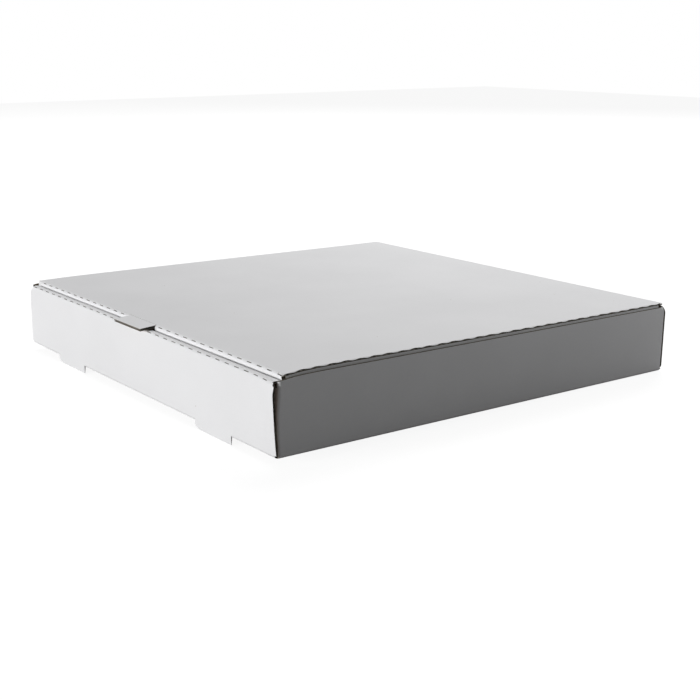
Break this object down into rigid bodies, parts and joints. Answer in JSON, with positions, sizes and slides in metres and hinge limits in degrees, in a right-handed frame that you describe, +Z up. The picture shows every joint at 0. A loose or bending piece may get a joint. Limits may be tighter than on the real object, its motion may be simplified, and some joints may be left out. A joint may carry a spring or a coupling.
{
  "type": "pizza box",
  "caption": "Shallow square corrugated-board box with rolled front rim, locking lugs and a hinged lid with a thumb tab and tucked flaps.",
  "frame": {"origin": "centre of the box's outline on the surface it stands on, level with the bottom of the two lugs", "axes": "+X across the front to the right, +Y from the front wall to the hinged back, +Z up"},
  "size_m": [0.305, 0.3116, 0.0492],
  "materials": {
    "white_corrugated_board": "matt white-faced fine-flute corrugated board, brown at its cut edges and inside"
  },
  "bodies": {
    "tray": {"tray": "white_corrugated_board"},
    "lid": {"lid": "white_corrugated_board"}
  },
  "joints": [
    {"name": "lid_hinge", "type": "hinge", "parent": "tray", "child": "lid", "pos_m": [0, 0.155, 0.04845], "axis": [-1, 0, 0], "range_deg": [0, 180]}
  ]
}
